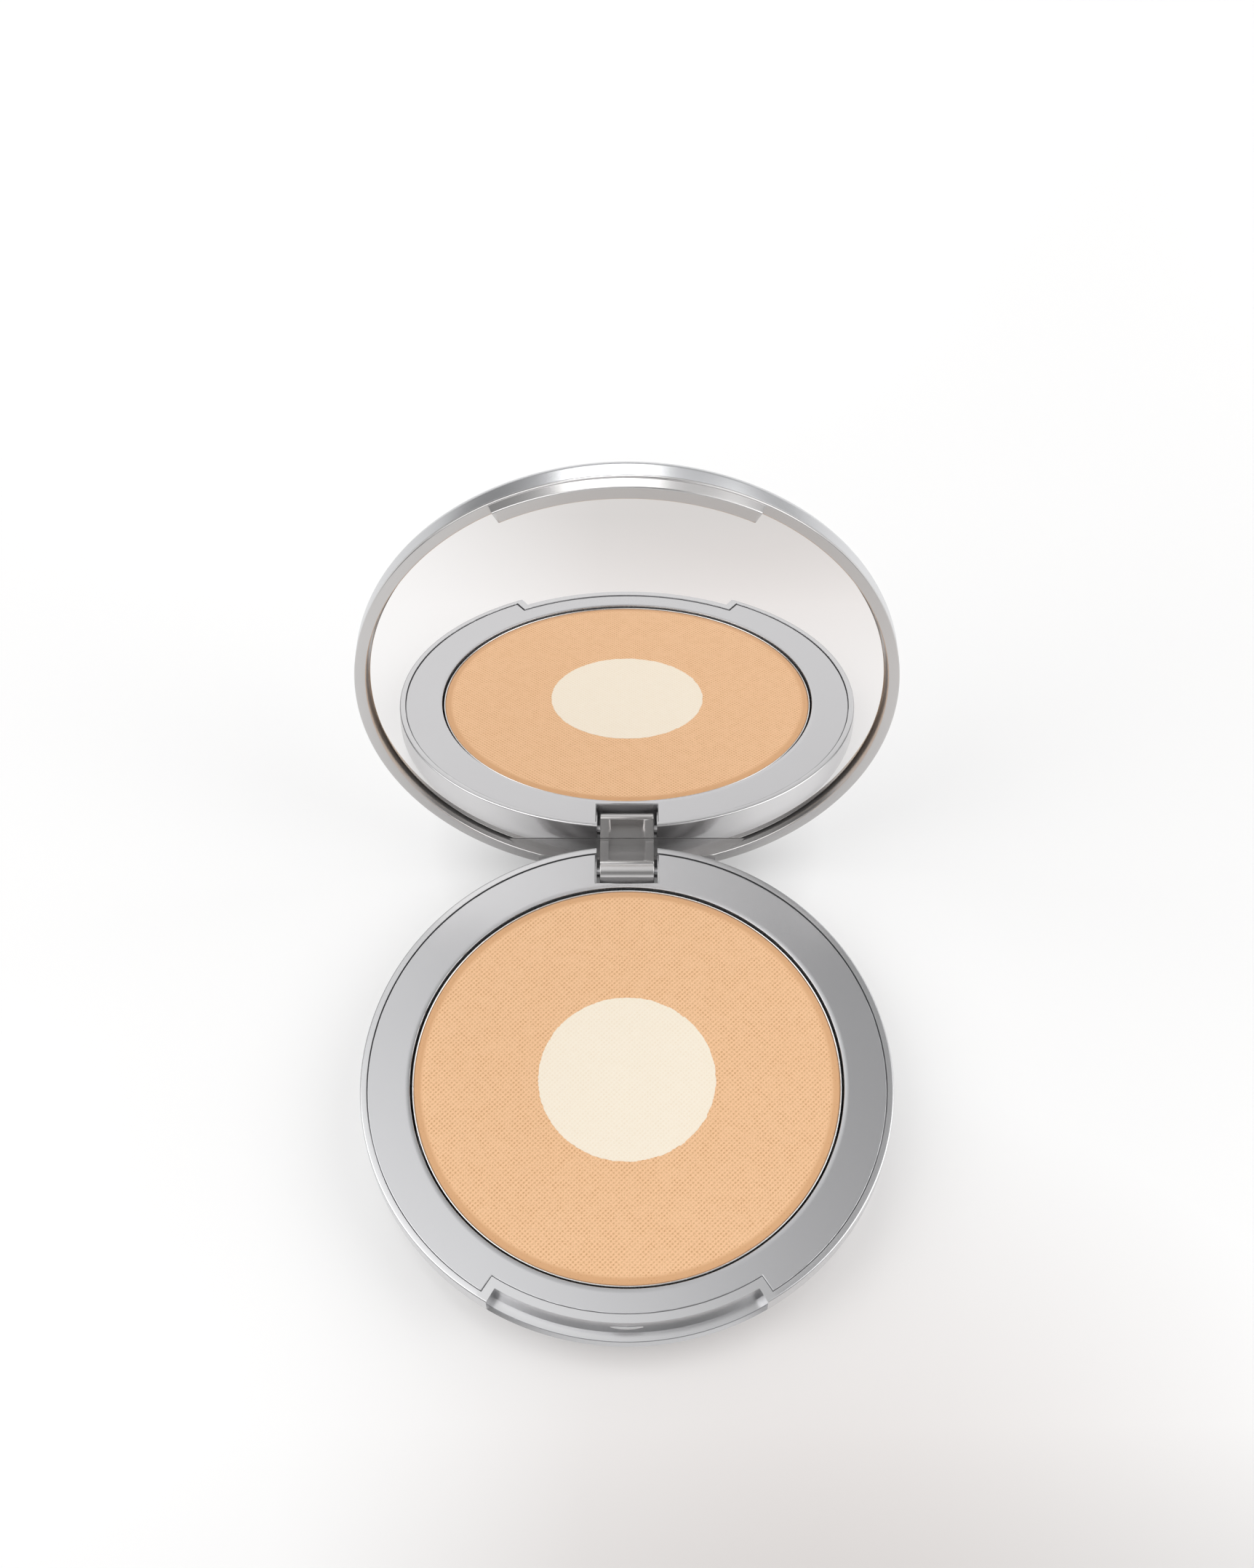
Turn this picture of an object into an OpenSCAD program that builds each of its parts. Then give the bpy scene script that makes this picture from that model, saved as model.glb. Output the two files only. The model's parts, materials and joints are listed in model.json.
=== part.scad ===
// Round powder compact with a mirror in its lid. The origin is the centre of the flat foot, +Z is up,
// +Y points to the hinge and -Y to the thumb notch. The lid is drawn closed and then swung open on its pin.

/* [Overall] */
// Diameter of the base
base_d = 73.2; // [70:0.2:78]
// Diameter of the lid, a little over the base
lid_d = 74; // [71:0.2:79]
// Height of the deck above the foot
base_h = 8.4; // [8.2:0.1:10]
// Thickness of the lid, from its rim face to its top
lid_h = 6.6; // [6.2:0.1:8]
// Diameter of the flat foot, and of the flat top of the lid
flat_d = 54; // [46:1:60]
// How far the lid stands open
open_angle = 102; // [0:1:116]

/* [Base shell] */
// Wall of the shell at its floor and sides
wall = 1.3; // [1.2:0.1:1.5]
// Straight part of the side, below the deck
side_h = 2.2; // [1.8:0.1:3]
// Width of the raised lip round the deck
lip_w = 0.9; // [0.7:0.1:1]
// How far the lip stands above the deck
lip_rise = 0.15; // [0.1:0.05:0.2]

/* [Thumb notch] */
// Half the angle that the notch takes at the front
notch_angle = 30; // [24:1:34]
// Depth of the notch below the deck
notch_depth = 2.6; // [2.2:0.1:3]
// Radius of the wall at the back of the notch, at its top
notch_r = 34.4; // [34.2:0.1:34.5]
// How far that wall leans out down to its foot
notch_lean = 0.4; // [0:0.1:0.5]
// Width of the catch bump on that wall
catch_w = 4.6; // [3:0.1:8]

/* [Powder pan] */
// Outer diameter of the pan, a standard round size
pan_d = 59; // [57:0.5:59]
// Height of the pan
pan_h = 4.2; // [3:0.1:4.4]
// Sheet thickness of the pan
pan_t = 0.22; // [0.18:0.01:0.3]
// Gap between the pan and the hole in the deck
pan_gap = 0.3; // [0.2:0.05:0.4]
// Diameter of the pale disc at the centre of the powder
centre_d = 24.6; // [10:0.2:40]

/* [Hinge] */
// Distance of the pin behind the centre
pin_y = 33.7; // [33.5:0.1:34]
// Depth of the pin below the deck
pin_drop = 2.6; // [2.5:0.1:2.8]
// Diameter of the pin
pin_d = 1.5; // [1.2:0.1:1.6]
// Length of the pin
pin_len = 18; // [14:0.5:19]
// Width of the lid's knuckle
knuckle_w = 7.9; // [6:0.1:8.2]
// Diameter of the lid's knuckle
knuckle_d = 5; // [4.6:0.1:5]
// Gap on each side of the knuckle
knuckle_gap = 0.5; // [0.3:0.05:0.6]

/* [Mirror] */
// Diameter of the mirror
mirror_d = 70; // [66:0.2:70.2]
// Thickness of the mirror glass
mirror_t = 1.3; // [1:0.1:1.5]
// How deep the mirror lies in the lid
mirror_recess = 1.35; // [1.3:0.05:1.5]

/* [Lid] */
// Width of the flat rim face of the lid
rim_w = 1.6; // [1.4:0.1:1.8]
// Height of the thumb tab below the rim face
tab_h = 1.9; // [1.5:0.1:2.2]
// Half the angle that the tab takes
tab_angle = 28.4; // [20:0.2:28.6]

/* [Hidden] */
$fn = 180;

base_r = base_d / 2;
lid_r = lid_d / 2;
flat_r = flat_d / 2;
far = 60;

// Base: the lip, the deck that sits inside it and the well that hangs from the deck
lip_top = base_h + lip_rise;
lip_round = 0.3;
side_z = base_h - side_h;
deck_r = base_r - lip_w;
deck_t = 1.1;
deck_z = base_h - deck_t;
seam = 0.1;
jog_r = notch_r - 1.15;
jog_angle = notch_angle + 2;
front_block_r = jog_r - 0.9;
front_block_angle = jog_angle + 2;
ledge_t = 1.1;
ledge_chamfer = 0.5;
well_r = pan_d / 2 + pan_gap;
well_wall = 0.7;
well_floor_t = 0.8;
glue_t = 0.15;
pan_sink = 0.3;
pan_top = base_h - pan_sink;
pan_z = pan_top - pan_h;
well_z = pan_z - glue_t;
rib_w = 1;
rib_radii = [10, 24];
catch_out = 0.45;
catch_z = base_h - 1.15;

// Powder: a flat cake with a sloping edge that meets the pan
powder_top = base_h - 0.2;
powder_r = pan_d / 2 - pan_t;
powder_slope_w = 1;
powder_slope_h = 0.2;

// Blank label in a shallow recess under the foot
label_r = 13;
label_t = 0.12;
label_sink = 0.25;

// Hinge
pin_z = base_h - pin_drop;
bore_clear = 0.05;
slot_w = knuckle_w + 2 * knuckle_gap;
slot_y = well_r + well_wall + 0.05;
hinge_block_x = 10;
relief_clear = 0.12;
relief_mid_x = 4;
relief_x = 13;

// Lid, as it lies closed on the base
rim_z = base_h + 0.25;
flange_t = 0.4;
shell_z = rim_z + flange_t;
lid_wall = 0.9;
lid_side_h = 2.4;
lid_top = rim_z + lid_h;
frame_in_r = lid_r - rim_w;
frame_out_r = lid_r - lid_wall - 0.05;
mirror_z = rim_z + mirror_recess;
tape_t = 0.2;
frame_floor_z = mirror_z + mirror_t + tape_t;
frame_floor_t = 0.8;
arm_y = pin_y - knuckle_d / 2;
arm_back_y = frame_out_r - 0.4;
land_y = arm_y - 0.3;
land_z = mirror_z;
pocket_w = 5.4;
pocket_depth = 1.25;
pocket_bottom = pin_z + 0.1;
ridge_r = 0.35;
tab_out_r = base_r + 0.25;
tab_in_r = base_r - 1.6;
tab_taper = 20;

// Quarter ellipse from the flat face out to the straight side; z_flat and z_side are its two heights
function shoulder(r_flat, r_side, z_flat, z_side, steps = 20) =
    [for (i = [0:steps]) let (a = 90 * i / steps)
        [r_flat + (r_side - r_flat) * sin(a), z_side + (z_flat - z_side) * cos(a)]];

// Inner radius of the lid shell at height z of its shoulder
function shell_inner_r(z) = flat_r + (lid_r - lid_wall - flat_r)
    * sqrt(1 - pow((z - rim_z - lid_side_h) / (lid_h - lid_wall - lid_side_h), 2));

// Distance from the pin to the upper rear corner of the base, at x along the pin
function corner_reach(x) = norm([sqrt(base_r * base_r - x * x) - pin_y, lip_top - pin_z]);

// Triangle that opens to the front, with its point at the centre
module wedge(half_angle) {
    polygon([[0, 0], [-far * sin(half_angle), -far * cos(half_angle)],
             [far * sin(half_angle), -far * cos(half_angle)]]);
}

// Flat ring sector at the front
module front_sector(r_in, r_out, half_angle) {
    intersection() {
        difference() {
            circle(r_out);
            circle(r_in);
        }
        wedge(half_angle);
    }
}

// Cylinder along X, centred on x = 0
module bar_x(r, length) {
    rotate([0, 90, 0]) cylinder(r = r, h = length, center = true);
}

// Swings a closed lid part to where the open lid stands
module swung_open() {
    translate([0, pin_y, pin_z]) rotate([-open_angle, 0, 0]) translate([0, -pin_y, -pin_z]) children();
}

// Outline of the deck, with its front jog; gap shrinks it all round
module deck_outline(gap, half_slot) {
    difference() {
        circle(deck_r - gap);
        difference() {
            wedge(jog_angle + 2 * gap);
            circle(jog_r - gap);
        }
        translate([-half_slot, slot_y]) square([2 * half_slot, far]);
    }
}

// Section of the base filled solid, with its rounded outer edge
module base_section() {
    polygon(concat([[0, 0]], shoulder(flat_r, base_r, 0, side_z),
                   [[base_r, lip_top - lip_round], [0, lip_top - lip_round]]));
    translate([0, lip_top - lip_round]) square([base_r - lip_round, lip_round]);
    translate([base_r - lip_round, lip_top - lip_round]) circle(lip_round);
}

// Space inside the base shell
module base_cavity() {
    polygon(concat([[0, wall]], shoulder(flat_r, base_r - wall, wall, side_z),
                   [[base_r - wall, base_h + 1], [0, base_h + 1]]));
}

// Solid stretches inside the shell: the ledge block, the hinge block, the slot's end wall and two ring ribs
module base_blocks() {
    translate([0, 0, base_h - notch_depth - ledge_t])
        linear_extrude(notch_depth + ledge_t + lip_rise)
            front_sector(front_block_r, base_r, front_block_angle);
    translate([-hinge_block_x, slot_y + 0.6, 0]) cube([2 * hinge_block_x, far, deck_z]);
    translate([-slot_w / 2 - 1, slot_y - 1.1, 0]) cube([slot_w + 2, 2, well_z - well_floor_t]);
    for (r = rib_radii)
        difference() {
            cylinder(r = r + rib_w, h = well_z - well_floor_t);
            translate([0, 0, -1]) cylinder(r = r, h = base_h);
        }
}

// Outer shell of the base: foot, sides, lip, thumb notch with its catch bump, and hinge slot
module base_shell() {
    color([0.78, 0.78, 0.8]) {
        difference() {
            union() {
                rotate_extrude() difference() {
                    base_section();
                    base_cavity();
                }
                intersection() {
                    rotate_extrude() base_section();
                    base_blocks();
                }
            }
            translate([0, 0, deck_z]) linear_extrude(far) deck_outline(0, slot_w / 2);
            notch_cut();
            translate([-slot_w / 2, slot_y, -1]) cube([slot_w, far, far]);
            translate([(far - pin_len) / 2, pin_y, pin_z]) bar_x(pin_d / 2, far);
            translate([0, 0, -1]) cylinder(r = label_r + 0.2, h = 1 + label_sink);
        }
        catch_bump();
    }
}

// Room cut for the thumb, which leaves a leaning wall and a ledge with a chamfered outer edge
module notch_cut() {
    ledge_z = base_h - notch_depth;
    r = base_r - ledge_chamfer;
    intersection() {
        translate([0, 0, ledge_z - 1]) linear_extrude(far) front_sector(jog_r, far, notch_angle);
        rotate_extrude()
            polygon([[notch_r + notch_lean, ledge_z], [r, ledge_z], [r + far, ledge_z - far], [r + far, far],
                     [notch_r, far], [notch_r, lip_top]]);
    }
}

// Lens-shaped bump in the middle of the notch wall
module catch_bump() {
    plan_r = (catch_w * catch_w / 4 + catch_out * catch_out) / (2 * catch_out);
    intersection() {
        translate([0, -notch_r, catch_z]) bar_x(catch_out, 2 * catch_w);
        translate([0, plan_r - catch_out - notch_r, 0]) cylinder(r = plan_r, h = base_h);
    }
}

// Deck that fills the base, with the round well that holds the pan
module base_deck() {
    color([0.72, 0.72, 0.74]) difference() {
        union() {
            translate([0, 0, deck_z]) linear_extrude(deck_t) deck_outline(seam, slot_w / 2 + 0.15);
            translate([0, 0, well_z - well_floor_t])
                cylinder(r = well_r + well_wall, h = base_h - well_z + well_floor_t);
        }
        translate([0, 0, well_z]) cylinder(r = well_r, h = far);
    }
}

// Drawn tinplate pan with a small radius round its floor
module powder_pan() {
    corner = 0.6;
    inner = corner - pan_t;
    r = pan_d / 2;
    color([0.86, 0.86, 0.84]) translate([0, 0, pan_z]) rotate_extrude() difference() {
        union() {
            square([r - corner, pan_h]);
            translate([0, corner]) square([r, pan_h - corner]);
            translate([r - corner, corner]) circle(corner);
        }
        union() {
            translate([0, pan_t]) square([r - corner, pan_h]);
            translate([0, corner]) square([r - pan_t, pan_h]);
            translate([r - corner, corner]) circle(inner);
        }
    }
}

// Round of glue that holds the pan down in its well
module pan_glue() {
    color([0.9, 0.88, 0.8]) translate([0, 0, well_z]) cylinder(r = pan_d / 2 - 4, h = glue_t);
}

// Peach powder round the pale centre, with a sloping outer edge
module powder_ring() {
    low = pan_z + 0.6;
    color([0.91, 0.75, 0.59]) rotate_extrude() polygon([
        [centre_d / 2, pan_z + pan_t], [powder_r - 0.4, pan_z + pan_t], [powder_r, low],
        [powder_r, powder_top - powder_slope_h], [powder_r - powder_slope_w, powder_top],
        [centre_d / 2, powder_top]]);
}

// Cream disc pressed into the middle of the same pan
module powder_centre() {
    color([0.97, 0.92, 0.85]) translate([0, 0, pan_z + pan_t])
        cylinder(r = centre_d / 2, h = powder_top - pan_z - pan_t);
}

// Blank round label, set in so that it doesn't touch what the compact stands on
module base_label() {
    color([0.93, 0.93, 0.92]) translate([0, 0, label_sink - label_t]) cylinder(r = label_r, h = label_t);
}

// Steel pin, pressed into the base and free in the lid's knuckle
module hinge_pin() {
    color([0.6, 0.6, 0.62]) translate([0, pin_y, pin_z]) bar_x(pin_d / 2, pin_len);
}

// Section of the lid filled solid; inset leaves the thickness of its wall
module lid_section(inset, z_from) {
    polygon(concat([[0, lid_top - inset]],
                   shoulder(flat_r, lid_r - inset, lid_top - inset, rim_z + lid_side_h),
                   [[lid_r - inset, z_from], [0, z_from]]));
}

// Room that the rear corner of the base needs as the lid swings past it
module hinge_relief() {
    mid_r = corner_reach(0) + relief_clear;
    end_r = corner_reach(relief_x) + relief_clear;
    translate([0, pin_y, pin_z]) rotate([0, 90, 0]) rotate_extrude()
        polygon([[0, -relief_x], [end_r, -relief_x], [mid_r, -relief_mid_x],
                 [mid_r, relief_mid_x], [end_r, relief_x], [0, relief_x]]);
}

// Outer shell of the lid
module lid_shell() {
    color([0.8, 0.8, 0.82]) swung_open() difference() {
        rotate_extrude() difference() {
            lid_section(0, shell_z);
            lid_section(lid_wall, shell_z - 1);
        }
        hinge_relief();
    }
}

// Rectangle with round corners, drawn round its own centre
module rounded_rect(w, h, r) {
    square([w - 2 * r, h], center = true);
    square([w, h - 2 * r], center = true);
    for (x = [-1, 1], y = [-1, 1]) translate([x * (w / 2 - r), y * (h / 2 - r)]) circle(r);
}

// Knuckle and its arm, which carries a moulded pocket and a ridge on its front face
module knuckle() {
    pocket_h = 2 * (land_z - pocket_bottom);
    difference() {
        union() {
            translate([0, pin_y, pin_z]) bar_x(knuckle_d / 2, knuckle_w);
            translate([-knuckle_w / 2, arm_y, pin_z])
                cube([knuckle_w, arm_back_y - arm_y, frame_floor_z - pin_z]);
            translate([0, arm_y + 0.2, pin_z - 0.25]) bar_x(ridge_r, knuckle_w);
        }
        translate([0, arm_y - 1, land_z]) rotate([-90, 0, 0])
            linear_extrude(1 + pocket_depth) rounded_rect(pocket_w, pocket_h, 0.4);
    }
}

// Thumb tab that drops into the notch of the base, with tapered ends and a dimple for the catch bump
module thumb_tab() {
    difference() {
        translate([0, 0, rim_z - tab_h]) linear_extrude(tab_h + 0.2)
            front_sector(tab_in_r, tab_out_r, tab_angle + 4);
        for (side = [-1, 1])
            rotate([0, 0, side * tab_angle]) translate([0, -tab_in_r, rim_z]) rotate([0, side * tab_taper, 0])
                translate([side > 0 ? 0 : -far, -far / 2, 2 - far]) cube([far, far, far]);
        translate([0, -tab_in_r + 0.2, catch_z]) bar_x(0.5, catch_w + 1.6);
    }
}

// Ring section of the frame: the thin rim flange, the wall inside it and the floor behind the mirror
module frame_section() {
    floor_top = frame_floor_z + frame_floor_t;
    polygon([[frame_in_r, rim_z], [lid_r, rim_z], [lid_r, shell_z], [frame_out_r, shell_z],
             [frame_out_r, rim_z + lid_side_h], [shell_inner_r(floor_top) - 0.1, floor_top],
             [0, floor_top], [0, frame_floor_z], [frame_in_r, frame_floor_z]]);
}

// Raised land behind the mirror's straight edge, from which the knuckle's arm comes down
module hinge_land() {
    translate([0, 0, land_z]) linear_extrude(frame_floor_z + 0.1 - land_z) intersection() {
        circle(frame_in_r + 0.1);
        translate([-far / 2, land_y]) square([far, far]);
    }
}

// Inner frame of the lid: rim face, mirror seat, hinge land and knuckle, and thumb tab
module lid_frame() {
    color([0.74, 0.73, 0.72]) swung_open() difference() {
        union() {
            difference() {
                union() {
                    rotate_extrude() frame_section();
                    hinge_land();
                }
                hinge_relief();
            }
            knuckle();
            thumb_tab();
        }
        translate([0, pin_y, pin_z]) bar_x(pin_d / 2 + bore_clear, 2 * knuckle_w);
    }
}

// Disc cut off straight in front of the hinge
module cut_disc(r, y_cut, z, t) {
    translate([0, 0, z]) linear_extrude(t) difference() {
        circle(r);
        translate([-far / 2, y_cut]) square([far, far]);
    }
}

// Mirror glass
module mirror() {
    color([0.9, 0.93, 0.95]) swung_open() cut_disc(mirror_d / 2, land_y - 0.1, mirror_z, mirror_t);
}

// Double-sided tape behind the mirror
module mirror_tape() {
    color([0.95, 0.94, 0.9]) swung_open()
        cut_disc(mirror_d / 2 - 2, land_y - 2, mirror_z + mirror_t, tape_t);
}

base_shell();
base_deck();
powder_pan();
pan_glue();
powder_ring();
powder_centre();
base_label();
hinge_pin();
lid_shell();
lid_frame();
mirror();
mirror_tape();
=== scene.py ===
"""Looks of a round powder compact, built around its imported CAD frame.

Lengths are in millimetres until finish_piece() scales a piece to metres.
"""
import json
import math

import bmesh
import bpy
from mathutils import Matrix, Vector, noise


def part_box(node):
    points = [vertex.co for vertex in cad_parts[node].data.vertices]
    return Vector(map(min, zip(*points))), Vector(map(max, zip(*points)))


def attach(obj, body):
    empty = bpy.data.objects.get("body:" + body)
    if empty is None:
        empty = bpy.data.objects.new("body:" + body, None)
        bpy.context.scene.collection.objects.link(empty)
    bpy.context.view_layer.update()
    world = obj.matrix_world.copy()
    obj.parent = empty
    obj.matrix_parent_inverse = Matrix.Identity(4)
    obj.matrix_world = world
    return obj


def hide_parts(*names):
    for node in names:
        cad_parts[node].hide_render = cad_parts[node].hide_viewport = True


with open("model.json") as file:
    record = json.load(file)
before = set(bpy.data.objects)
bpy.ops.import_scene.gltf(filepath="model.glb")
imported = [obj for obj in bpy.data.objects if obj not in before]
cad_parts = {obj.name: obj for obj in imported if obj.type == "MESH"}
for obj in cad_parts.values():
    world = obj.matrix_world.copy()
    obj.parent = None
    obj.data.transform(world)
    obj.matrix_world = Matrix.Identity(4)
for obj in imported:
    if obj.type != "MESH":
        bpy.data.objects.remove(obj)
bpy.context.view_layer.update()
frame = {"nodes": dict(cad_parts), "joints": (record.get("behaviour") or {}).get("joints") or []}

MM = 0.001
SEGMENTS = 360

# Heights and radii of the base, from the frame's own boxes
DECK_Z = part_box("base_deck")[1].z / MM
LIP_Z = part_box("base_shell")[1].z / MM
LIP_RISE = LIP_Z - DECK_Z
BASE_R = 36.6
FLAT_R = 27.0
SIDE_Z = DECK_Z - 2.2
WALL = 1.3
DECK_R = 35.7
DECK_T = 1.1
JOG_R = 33.25
JOG_ANGLE = 32
NOTCH_R = 34.4
NOTCH_LEAN = 0.4
NOTCH_ANGLE = 30
LEDGE_Z = DECK_Z - 2.6
LEDGE_CHAMFER = 0.5
SLOT_HALF = 4.45
SLOT_Y = 30.55
WELL_R = 29.8
WELL_WALL = 0.7
PAN_R = 29.5
PAN_T = 0.22
PAN_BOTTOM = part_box("powder_pan")[0].z / MM
PAN_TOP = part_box("powder_pan")[1].z / MM
PAN_CORNER = 0.6
WELL_FLOOR = PAN_BOTTOM - 0.15
WELL_BOTTOM = PAN_BOTTOM - 0.95
POWDER_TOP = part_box("powder_ring")[1].z / MM
POWDER_R = PAN_R - PAN_T
CENTRE_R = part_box("powder_centre")[1].x / MM
WEAVE_PITCH = 0.5
LABEL_R = 13.0
LABEL_SINK = 0.25
ABOVE, BELOW = 20, -1  # heights clear of the base, for cutters

# Hinge
JOINT = frame["joints"][0]
PIN_Y = JOINT["pos_m"][1] / MM
PIN_Z = JOINT["pos_m"][2] / MM
PIN_R = 0.75
KNUCKLE_R = 2.5
KNUCKLE_HALF = 3.95
RIDGE_R = 0.35

# Lid, as it lies closed on the base
LID_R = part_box("lid_shell")[1].x / MM
RIM_Z = DECK_Z + 0.25
SEAM_Z = RIM_Z + 0.4
LID_SIDE_Z = RIM_Z + 2.4
LID_TOP = RIM_Z + 6.6
LID_WALL = 0.9
FRAME_IN_R = LID_R - 1.6
FRAME_OUT_R = LID_R - 0.95
MIRROR_R = 35.0
MIRROR_Z = RIM_Z + 1.35
MIRROR_T = 1.3
MIRROR_CUT = 30.8
LAND_Y = 30.9
ARM_Y = PIN_Y - KNUCKLE_R
TAB_IN_R = 35.0
TAB_OUT_R = BASE_R + 0.25
TAB_ANGLE = 28.4
TAB_Z = RIM_Z - 1.9
TAB_TAPER = 20
CATCH_Z = DECK_Z - 1.15

# Brightness of the studio: overhead left and right, where along X it turns, near the horizon left and right
SKY_TOP = (0.83, 0.15)
SKY_TURN = (-0.09, 0.13)
SKY_LOW = (0.8, 1.0)
# Share of that brightness along an axis of the sky: axis, from, to, share up to "from"; it is 1 beyond "to"
SKY_SHARES = (
    ("Y", -0.42, -0.2, 0.18),  # dark round the camera
    ("Y", -0.8, -0.66, 4.7),   # bright again low at the front
    ("Z", 0.15, 0.5, 0.45),    # dim at the horizon
    ("X", -0.55, -0.3, 0.6),   # dim far left
    ("Y", 0.3, 0.44, 1.7),     # brighter everywhere but towards the back
)


# ---------------------------------------------------------------- mesh helpers

def arc(cx, cy, r, a0, a1, steps):
    """Points of an arc, with angles in degrees."""
    return [(cx + r * math.cos(math.radians(a0 + (a1 - a0) * i / steps)),
             cy + r * math.sin(math.radians(a0 + (a1 - a0) * i / steps))) for i in range(steps + 1)]


def rounded(corners, steps=4):
    """Closed outline from (x, y, radius) corners, with each corner filleted by its radius."""
    out = []
    n = len(corners)
    for i, (x, y, r) in enumerate(corners):
        p = Vector((x, y))
        if r <= 0:
            out.append((x, y))
            continue
        a = (Vector(corners[i - 1][:2]) - p)
        b = (Vector(corners[(i + 1) % n][:2]) - p)
        half = a.angle(b) / 2
        reach = min(r / math.tan(half), 0.49 * a.length, 0.49 * b.length)
        r = reach * math.tan(half)
        a.normalize()
        b.normalize()
        centre = p + (a + b).normalized() * (r / math.sin(half))
        start = p + a * reach - centre
        end = p + b * reach - centre
        turn = start.angle_signed(end)
        for k in range(steps + 1):
            v = start.copy()
            v.rotate(Matrix.Rotation(-turn * k / steps, 2))
            out.append(tuple(centre + v))
    return out


def shoulder(r_flat, r_side, z_flat, z_side, steps=24):
    """Quarter ellipse from the flat face out to the straight side."""
    pts = []
    for i in range(steps + 1):
        a = math.radians(90 * i / steps)
        pts.append((r_flat + (r_side - r_flat) * math.sin(a), z_side + (z_flat - z_side) * math.cos(a)))
    return pts


def new_object(name, bm):
    mesh = bpy.data.meshes.new(name)
    bm.to_mesh(mesh)
    bm.free()
    obj = bpy.data.objects.new(name, mesh)
    bpy.context.scene.collection.objects.link(obj)
    return obj


def clean(bm):
    bmesh.ops.remove_doubles(bm, verts=bm.verts, dist=1e-4)
    bmesh.ops.recalc_face_normals(bm, faces=bm.faces)


def stitch(bm, a, b):
    """Faces between two rings of as many vertices."""
    n = len(a)
    for k in range(n):
        j = (k + 1) % n
        bm.faces.new((a[k], a[j], b[j], b[k]))


def capped(name, bm, rings):
    """Closes a row of rings with a face at each end and makes it an object."""
    for a, b in zip(rings, rings[1:]):
        stitch(bm, a, b)
    bm.faces.new(rings[0])
    bm.faces.new(rings[-1])
    clean(bm)
    return new_object(name, bm)


def round_pin_axis(name, stations, count):
    """Solid of revolution about the hinge pin's axis, from (x, r) stations."""
    bm = bmesh.new()
    rings = [[bm.verts.new((x, PIN_Y + r * math.cos(2 * math.pi * k / count),
                            PIN_Z + r * math.sin(2 * math.pi * k / count))) for k in range(count)]
             for x, r in stations]
    return capped(name, bm, rings)


def lathe(name, profile, segments=SEGMENTS):
    """Solid of revolution about Z from an (r, z) outline, closed or with both ends on the axis."""
    bm = bmesh.new()
    rings = []
    for r, z in profile:
        if r < 1e-6:
            rings.append([bm.verts.new((0, 0, z))])
        else:
            rings.append([bm.verts.new((r * math.sin(2 * math.pi * k / segments),
                                        -r * math.cos(2 * math.pi * k / segments), z))
                          for k in range(segments)])
    closed = len(rings[0]) > 1
    for i in range(len(rings) if closed else len(rings) - 1):
        a, b = rings[i], rings[(i + 1) % len(rings)]
        for k in range(segments):
            j = (k + 1) % segments
            if len(a) == 1 and len(b) == 1:
                continue
            if len(a) == 1:
                bm.faces.new((a[0], b[j], b[k]))
            elif len(b) == 1:
                bm.faces.new((a[k], a[j], b[0]))
            else:
                bm.faces.new((a[k], a[j], b[j], b[k]))
    clean(bm)
    return new_object(name, bm)


def prism(name, outline, low, high, axis="z"):
    """Outline extruded along an axis: (x, y) along z, (y, z) along x, (x, z) along y."""
    def place(u, v, w):
        return {"z": (u, v, w), "x": (w, u, v), "y": (u, w, v)}[axis]
    bm = bmesh.new()
    bottom = [bm.verts.new(place(u, v, low)) for u, v in outline]
    top = [bm.verts.new(place(u, v, high)) for u, v in outline]
    n = len(outline)
    for i in range(n):
        j = (i + 1) % n
        bm.faces.new((bottom[i], bottom[j], top[j], top[i]))
    bm.faces.new(bottom)
    bm.faces.new(top)
    clean(bm)
    return new_object(name, bm)


def carve(obj, operation, *others):
    """Boolean of obj with the others, which are then removed."""
    for other in others:
        mod = obj.modifiers.new("cut", "BOOLEAN")
        mod.operation = operation
        mod.solver = "EXACT"
        mod.object = other
        depsgraph = bpy.context.evaluated_depsgraph_get()
        mesh = bpy.data.meshes.new_from_object(obj.evaluated_get(depsgraph))
        obj.modifiers.clear()
        old = obj.data
        obj.data = mesh
        bpy.data.meshes.remove(old)
        bpy.data.objects.remove(other)
    return obj


def soften(obj, width, wanted, segments=3, sharp=28):
    """Rounds the edges that turn by more than sharp degrees and whose middle satisfies wanted."""
    bm = bmesh.new()
    bm.from_mesh(obj.data)
    bmesh.ops.remove_doubles(bm, verts=bm.verts, dist=1e-4)
    bmesh.ops.dissolve_degenerate(bm, edges=bm.edges, dist=1e-4)
    limit = math.radians(sharp)
    edges = [e for e in bm.edges if len(e.link_faces) == 2 and e.calc_face_angle(0) > limit
             and wanted((e.verts[0].co + e.verts[1].co) / 2)]
    bmesh.ops.bevel(bm, geom=edges, offset=width, offset_type="OFFSET", segments=segments, profile=0.5,
                    affect="EDGES", clamp_overlap=True)
    clean(bm)
    bm.to_mesh(obj.data)
    bm.free()
    return obj


def sector(r_in, r_out, half_angle, step=1.0):
    """Outline of a ring sector at the front, half_angle degrees to each side of -Y."""
    def side(r, a):
        return (r * math.sin(math.radians(a)), -r * math.cos(math.radians(a)))
    count = max(2, round(2 * half_angle / step))
    angles = [-half_angle + 2 * half_angle * i / count for i in range(count + 1)]
    return [side(r_out, a) for a in angles] + [side(r_in, a) for a in reversed(angles)]


def box_outline(u0, u1, v0, v1):
    return [(u0, v0), (u1, v0), (u1, v1), (u0, v1)]


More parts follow.
